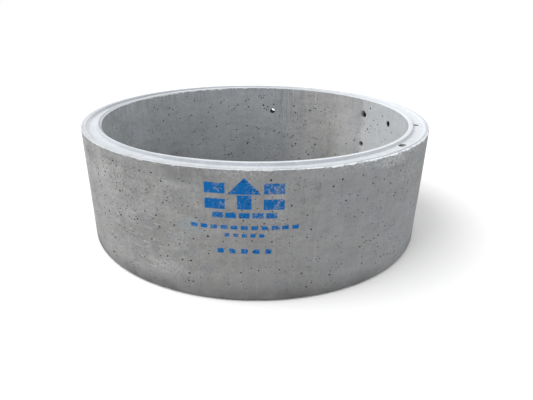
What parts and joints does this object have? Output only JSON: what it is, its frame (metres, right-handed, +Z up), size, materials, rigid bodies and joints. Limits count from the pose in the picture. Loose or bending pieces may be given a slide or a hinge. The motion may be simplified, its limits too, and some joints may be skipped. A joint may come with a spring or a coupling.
{
  "type": "concrete culvert ring",
  "caption": "Precast concrete culvert or manhole chamber ring with a tongue-and-groove joint, sockets for step irons inside and a lifting hole through the wall.",
  "frame": {"origin": "on the ring's axis, at the level of the tongue's tip on which it stands", "axes": "+Z up along the ring's axis towards the groove; -Y towards the picture's camera, +X to its right"},
  "size_m": [2.3498, 2.3498, 0.764],
  "materials": {
    "concrete": "raw cast concrete, mottled grey with air pores, damp at the foot and pale on the rim"
  },
  "bodies": {
    "root": {"concrete_ring": "concrete"}
  },
  "joints": []
}
